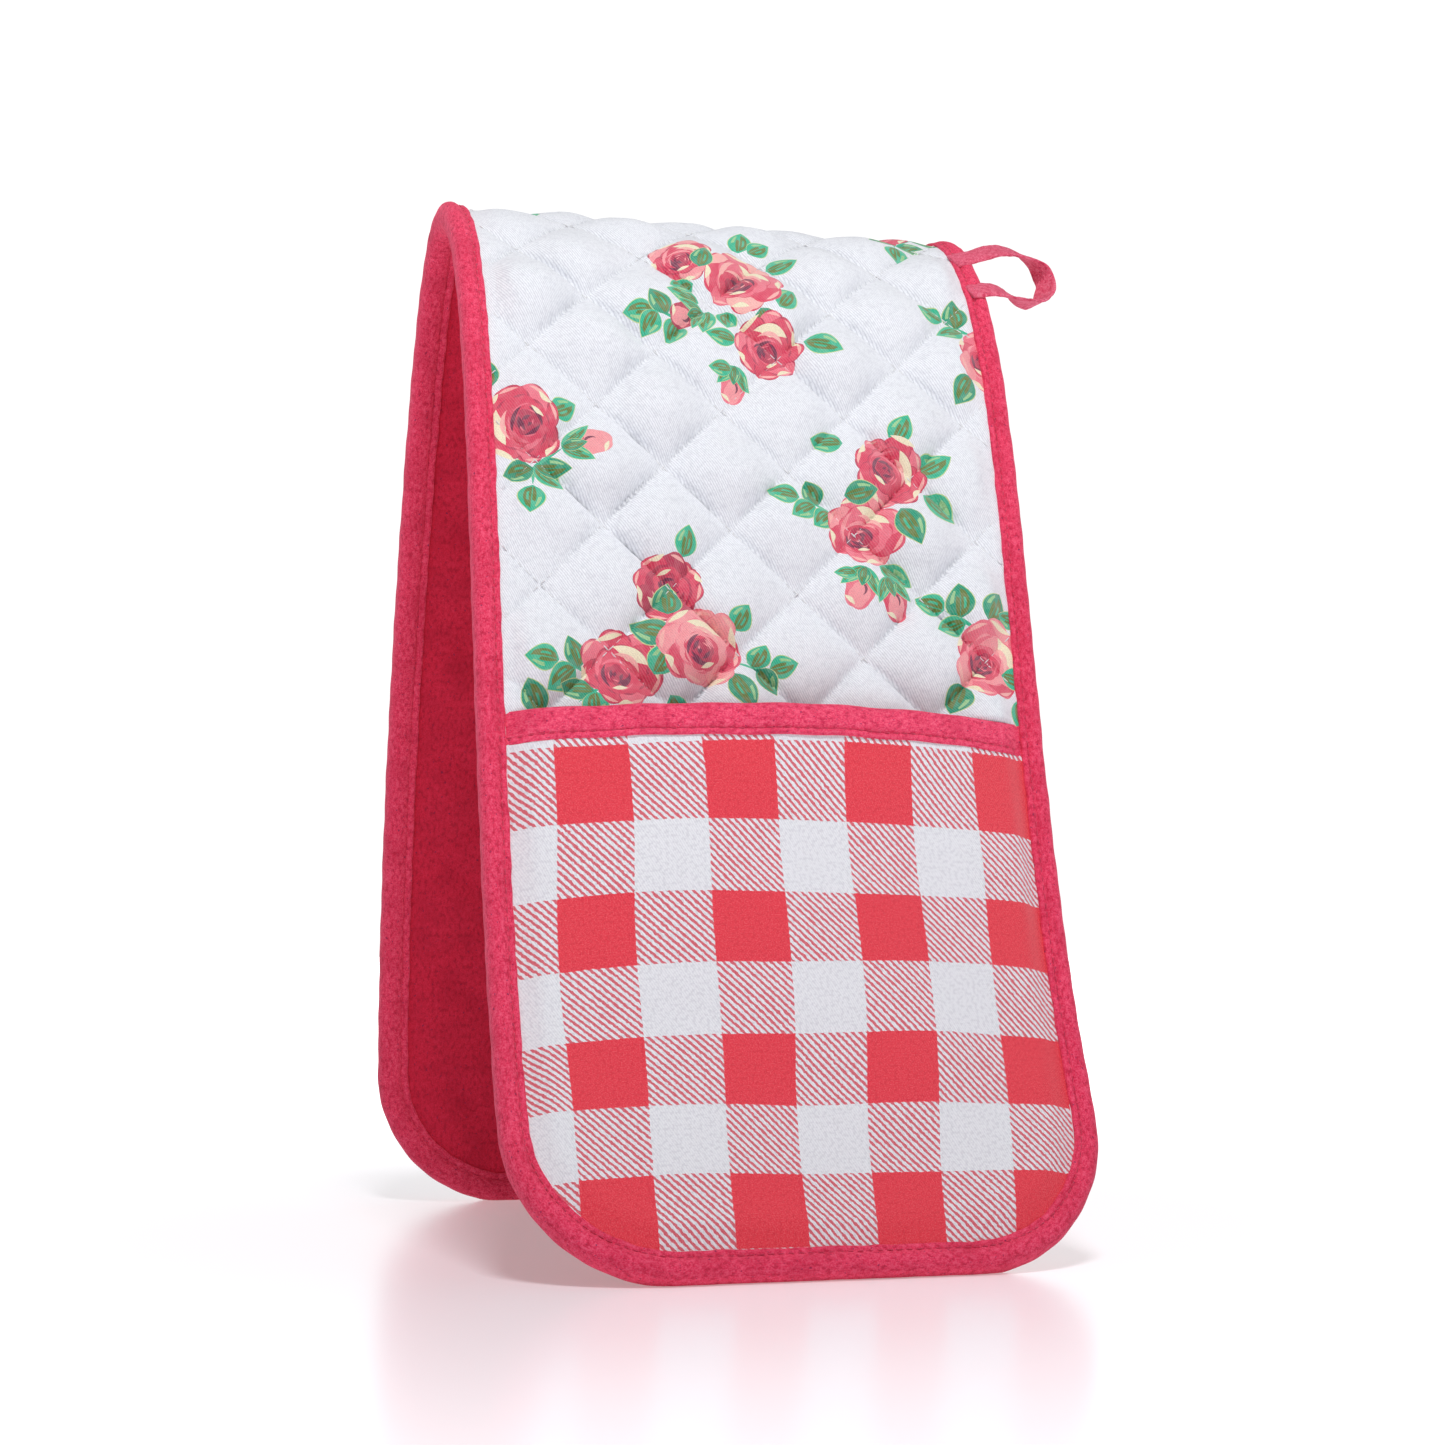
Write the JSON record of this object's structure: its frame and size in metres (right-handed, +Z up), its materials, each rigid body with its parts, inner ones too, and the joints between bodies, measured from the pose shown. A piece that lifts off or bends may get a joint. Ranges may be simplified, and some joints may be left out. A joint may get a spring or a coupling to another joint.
{
  "type": "double oven glove",
  "caption": "Double oven glove: a long quilted pad with a hand pocket at each end, folded over its middle and standing like a tent, with a hanging loop.",
  "frame": {"origin": "middle of the bounding box's base, on the surface that the glove stands on", "axes": "+Z up, +X along the fold towards the side with the hanging loop, -Y the front half"},
  "size_m": [0.2074, 0.2642, 0.3362],
  "materials": {
    "white_twill": "matte",
    "checked_twill": "matte",
    "crimson_tape": "matte",
    "crimson_lining": "matte",
    "wadding": "matte",
    "loop_tape": "matte"
  },
  "bodies": {
    "front_half": {"front_cover": "white_twill", "front_wadding": "wadding", "front_lining": "crimson_lining", "front_binding_left": "crimson_tape", "front_binding_right": "crimson_tape", "front_binding_foot": "crimson_tape"},
    "front_pocket": {"front_pocket_lining": "crimson_lining", "front_pocket_wadding": "wadding", "front_pocket_face": "checked_twill", "front_pocket_mouth_binding": "crimson_tape"},
    "front_crown": {"front_crown_cover": "white_twill", "front_crown_wadding": "wadding", "front_crown_lining": "crimson_lining", "front_crown_binding_left": "crimson_tape", "front_crown_binding_right": "crimson_tape", "loop_end_upper": "loop_tape", "loop_end_lower": "loop_tape"},
    "hanging_loop": {"hanging_loop": "loop_tape"},
    "rear_crown": {"rear_crown_cover": "white_twill", "rear_crown_wadding": "wadding", "rear_crown_lining": "crimson_lining", "rear_crown_binding_left": "crimson_tape", "rear_crown_binding_right": "crimson_tape"},
    "rear_half": {"rear_cover": "white_twill", "rear_wadding": "wadding", "rear_lining": "crimson_lining", "rear_binding_left": "crimson_tape", "rear_binding_right": "crimson_tape", "rear_binding_foot": "crimson_tape"},
    "rear_pocket": {"rear_pocket_lining": "crimson_lining", "rear_pocket_wadding": "wadding", "rear_pocket_face": "checked_twill", "rear_pocket_mouth_binding": "crimson_tape"}
  },
  "joints": [
    {"name": "front_bend", "type": "hinge", "parent": "front_half", "child": "front_crown", "pos_m": [-0.01374, -0.03015, 0.30593], "axis": [1, 0, 0], "range_deg": [-12, 45]},
    {"name": "ridge_bend", "type": "hinge", "parent": "front_crown", "child": "rear_crown", "pos_m": [-0.01374, 0.01176, 0.33623], "axis": [1, 0, 0], "range_deg": [-12, 45]},
    {"name": "rear_bend", "type": "hinge", "parent": "rear_crown", "child": "rear_half", "pos_m": [-0.01374, 0.05274, 0.3044], "axis": [1, 0, 0], "range_deg": [-12, 45]},
    {"name": "front_pocket_opening", "type": "hinge", "parent": "front_half", "child": "front_pocket", "pos_m": [-0.01374, -0.12886, 0.01057], "axis": [1, 0, 0], "range_deg": [0, 10]},
    {"name": "rear_pocket_opening", "type": "hinge", "parent": "rear_half", "child": "rear_pocket", "pos_m": [-0.01374, 0.11956, 0.00702], "axis": [-1, 0, 0], "range_deg": [0, 10]},
    {"name": "loop_swing", "type": "hinge", "parent": "front_crown", "child": "hanging_loop", "pos_m": [0.07656, -0.01357, 0.32736], "axis": [0, -0.685, -0.7286], "range_deg": [-45, 75]}
  ],
  "couplings": [
    {"joint": "front_bend", "follows": "ridge_bend", "ratio": 1},
    {"joint": "rear_bend", "follows": "ridge_bend", "ratio": 1}
  ]
}
